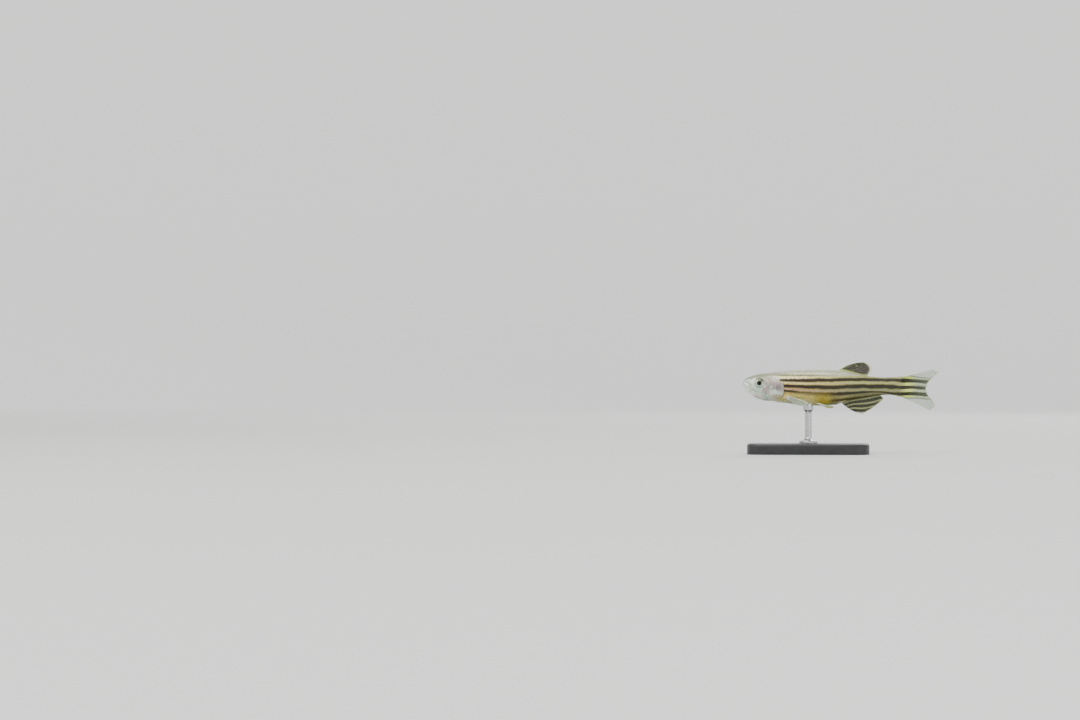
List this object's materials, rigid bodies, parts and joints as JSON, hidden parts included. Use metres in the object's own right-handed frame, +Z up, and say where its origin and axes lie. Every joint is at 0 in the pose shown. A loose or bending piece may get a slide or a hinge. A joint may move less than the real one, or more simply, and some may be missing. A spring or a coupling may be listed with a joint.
{
  "type": "zebra danio fish model on a display stand",
  "caption": "Still life-size model of a small striped freshwater fish with spread fins, held level on a flat rounded base by a short steel rod.",
  "frame": {"origin": "centre of the underside of the stand's base, below the rod", "axes": "-Y towards the fish's snout, +X towards its left side, +Z up"},
  "size_m": [0.013, 0.04, 0.019],
  "materials": {
    "head_skin": "silvery white skin, wet sheen",
    "flank_skin": "scaled skin, dark and pale gold stripes",
    "eye": "glossy black and silver",
    "banded_fin": "thin membrane with olive bands",
    "clear_fin": "thin translucent membrane over pale rays",
    "stand_base": "satin black",
    "stand_rod": "brushed"
  },
  "bodies": {
    "root": {"head": "head_skin", "torso": "flank_skin", "tail_peduncle": "flank_skin", "eye_left": "eye", "eye_right": "eye", "dorsal_fin": "banded_fin", "anal_fin": "banded_fin", "caudal_fin": "clear_fin", "pectoral_fin_left": "clear_fin", "pectoral_fin_right": "clear_fin", "pelvic_fin_left": "banded_fin", "pelvic_fin_right": "banded_fin", "stand_base": "stand_base", "stand_rod": "stand_rod"}
  },
  "joints": []
}
